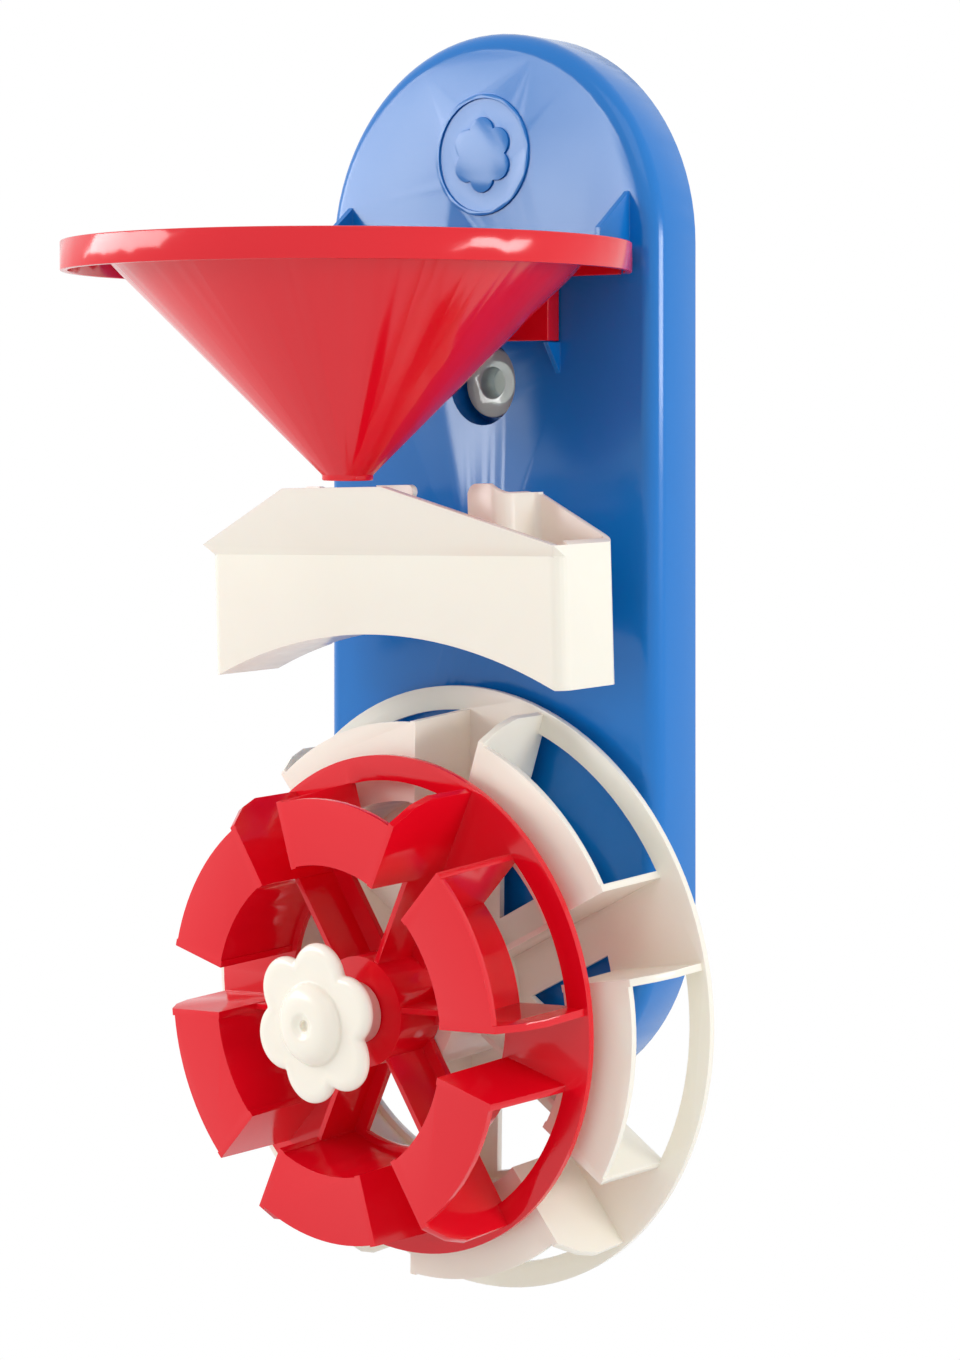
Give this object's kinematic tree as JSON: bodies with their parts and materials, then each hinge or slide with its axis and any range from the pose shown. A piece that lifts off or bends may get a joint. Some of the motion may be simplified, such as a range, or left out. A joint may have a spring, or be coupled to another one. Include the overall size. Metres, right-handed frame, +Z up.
{
  "type": "sand_wheel_toy",
  "caption": "Wall-hung sand and water mill: rounded blue backboard on clear suction cups with a red funnel, a white tipping trough and two bucket wheels on one axle.",
  "frame": {"origin": "on the wall plane, midway between the two suction cups", "axes": "+X to the right across the board, +Y into the wall along the wheels' axle, +Z up along the board"},
  "size_m": [0.175, 0.1594, 0.3682],
  "materials": {
    "board_blue": "glossy moulded polypropylene",
    "cup_clear": "clear soft vinyl with a green tint",
    "axle_white": "smooth moulded plastic",
    "moulded_white": "glossy warm white polypropylene",
    "moulded_red": "glossy red polypropylene"
  },
  "bodies": {
    "board": {"backboard": "board_blue", "upper_suction_cup": "cup_clear", "lower_suction_cup": "cup_clear", "axle": "axle_white", "flower_cap": "moulded_white"},
    "big_wheel": {"large_wheel": "moulded_white"},
    "little_wheel": {"small_wheel": "moulded_red"},
    "hopper": {"funnel": "moulded_red"},
    "rocker": {"trough": "moulded_white"}
  },
  "joints": [
    {"name": "large_wheel_spin", "type": "hinge", "parent": "board", "child": "big_wheel", "pos_m": [0, -0.04, -0.1135], "axis": [0, -1, 0], "continuous": true},
    {"name": "small_wheel_spin", "type": "hinge", "parent": "board", "child": "little_wheel", "pos_m": [0, -0.07, -0.1135], "axis": [0, -1, 0], "continuous": true},
    {"name": "trough_rock", "type": "hinge", "parent": "board", "child": "rocker", "pos_m": [0, -0.055, 0.0145], "axis": [0, -1, 0], "range_deg": [-14, 10]},
    {"name": "funnel_lift", "type": "slide", "parent": "board", "child": "hopper", "axis": [0, 0, 1], "range_m": [0, 0.01]}
  ]
}
